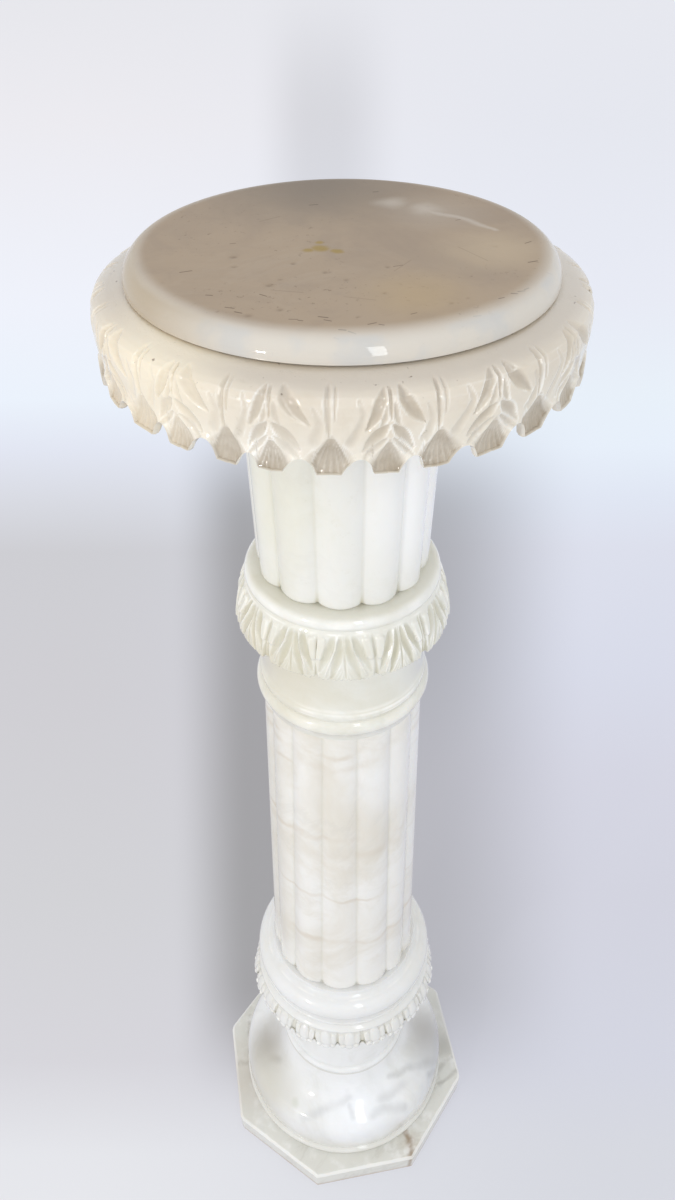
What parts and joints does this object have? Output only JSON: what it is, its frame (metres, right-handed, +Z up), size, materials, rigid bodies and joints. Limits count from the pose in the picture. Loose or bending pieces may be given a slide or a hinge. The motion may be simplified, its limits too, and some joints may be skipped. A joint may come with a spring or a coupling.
{
  "type": "column pedestal",
  "caption": "Carved alabaster column pedestal: round top on a leaf-carved capital, reeded drums with leaf collars, domed foot and octagonal plinth.",
  "frame": {"origin": "centre of the plinth's underside, on the column's axis", "axes": "+Z up along the column's axis; +X and +Y square to two pairs of the plinth's flats"},
  "size_m": [0.2798, 0.2798, 1],
  "materials": {
    "plinth_stone": "polished white alabaster with a brown stain at one corner",
    "foot_stone": "polished white alabaster with grey clouds and veins",
    "white_stone": "polished milky white alabaster",
    "drum_stone": "polished white alabaster with faint beige veins",
    "collar_stone": "carved cream alabaster with a faint green tone",
    "capital_stone": "carved warm cream alabaster, brown in the hollows",
    "disc_stone": "worn tan top with pits, white polished rim"
  },
  "bodies": {
    "root": {"plinth": "plinth_stone", "domed_foot": "foot_stone", "foot_collar": "white_stone", "lower_drum": "drum_stone", "leaf_collar": "collar_stone", "upper_drum": "drum_stone", "leaf_capital": "capital_stone", "top_disc": "disc_stone"}
  },
  "joints": []
}
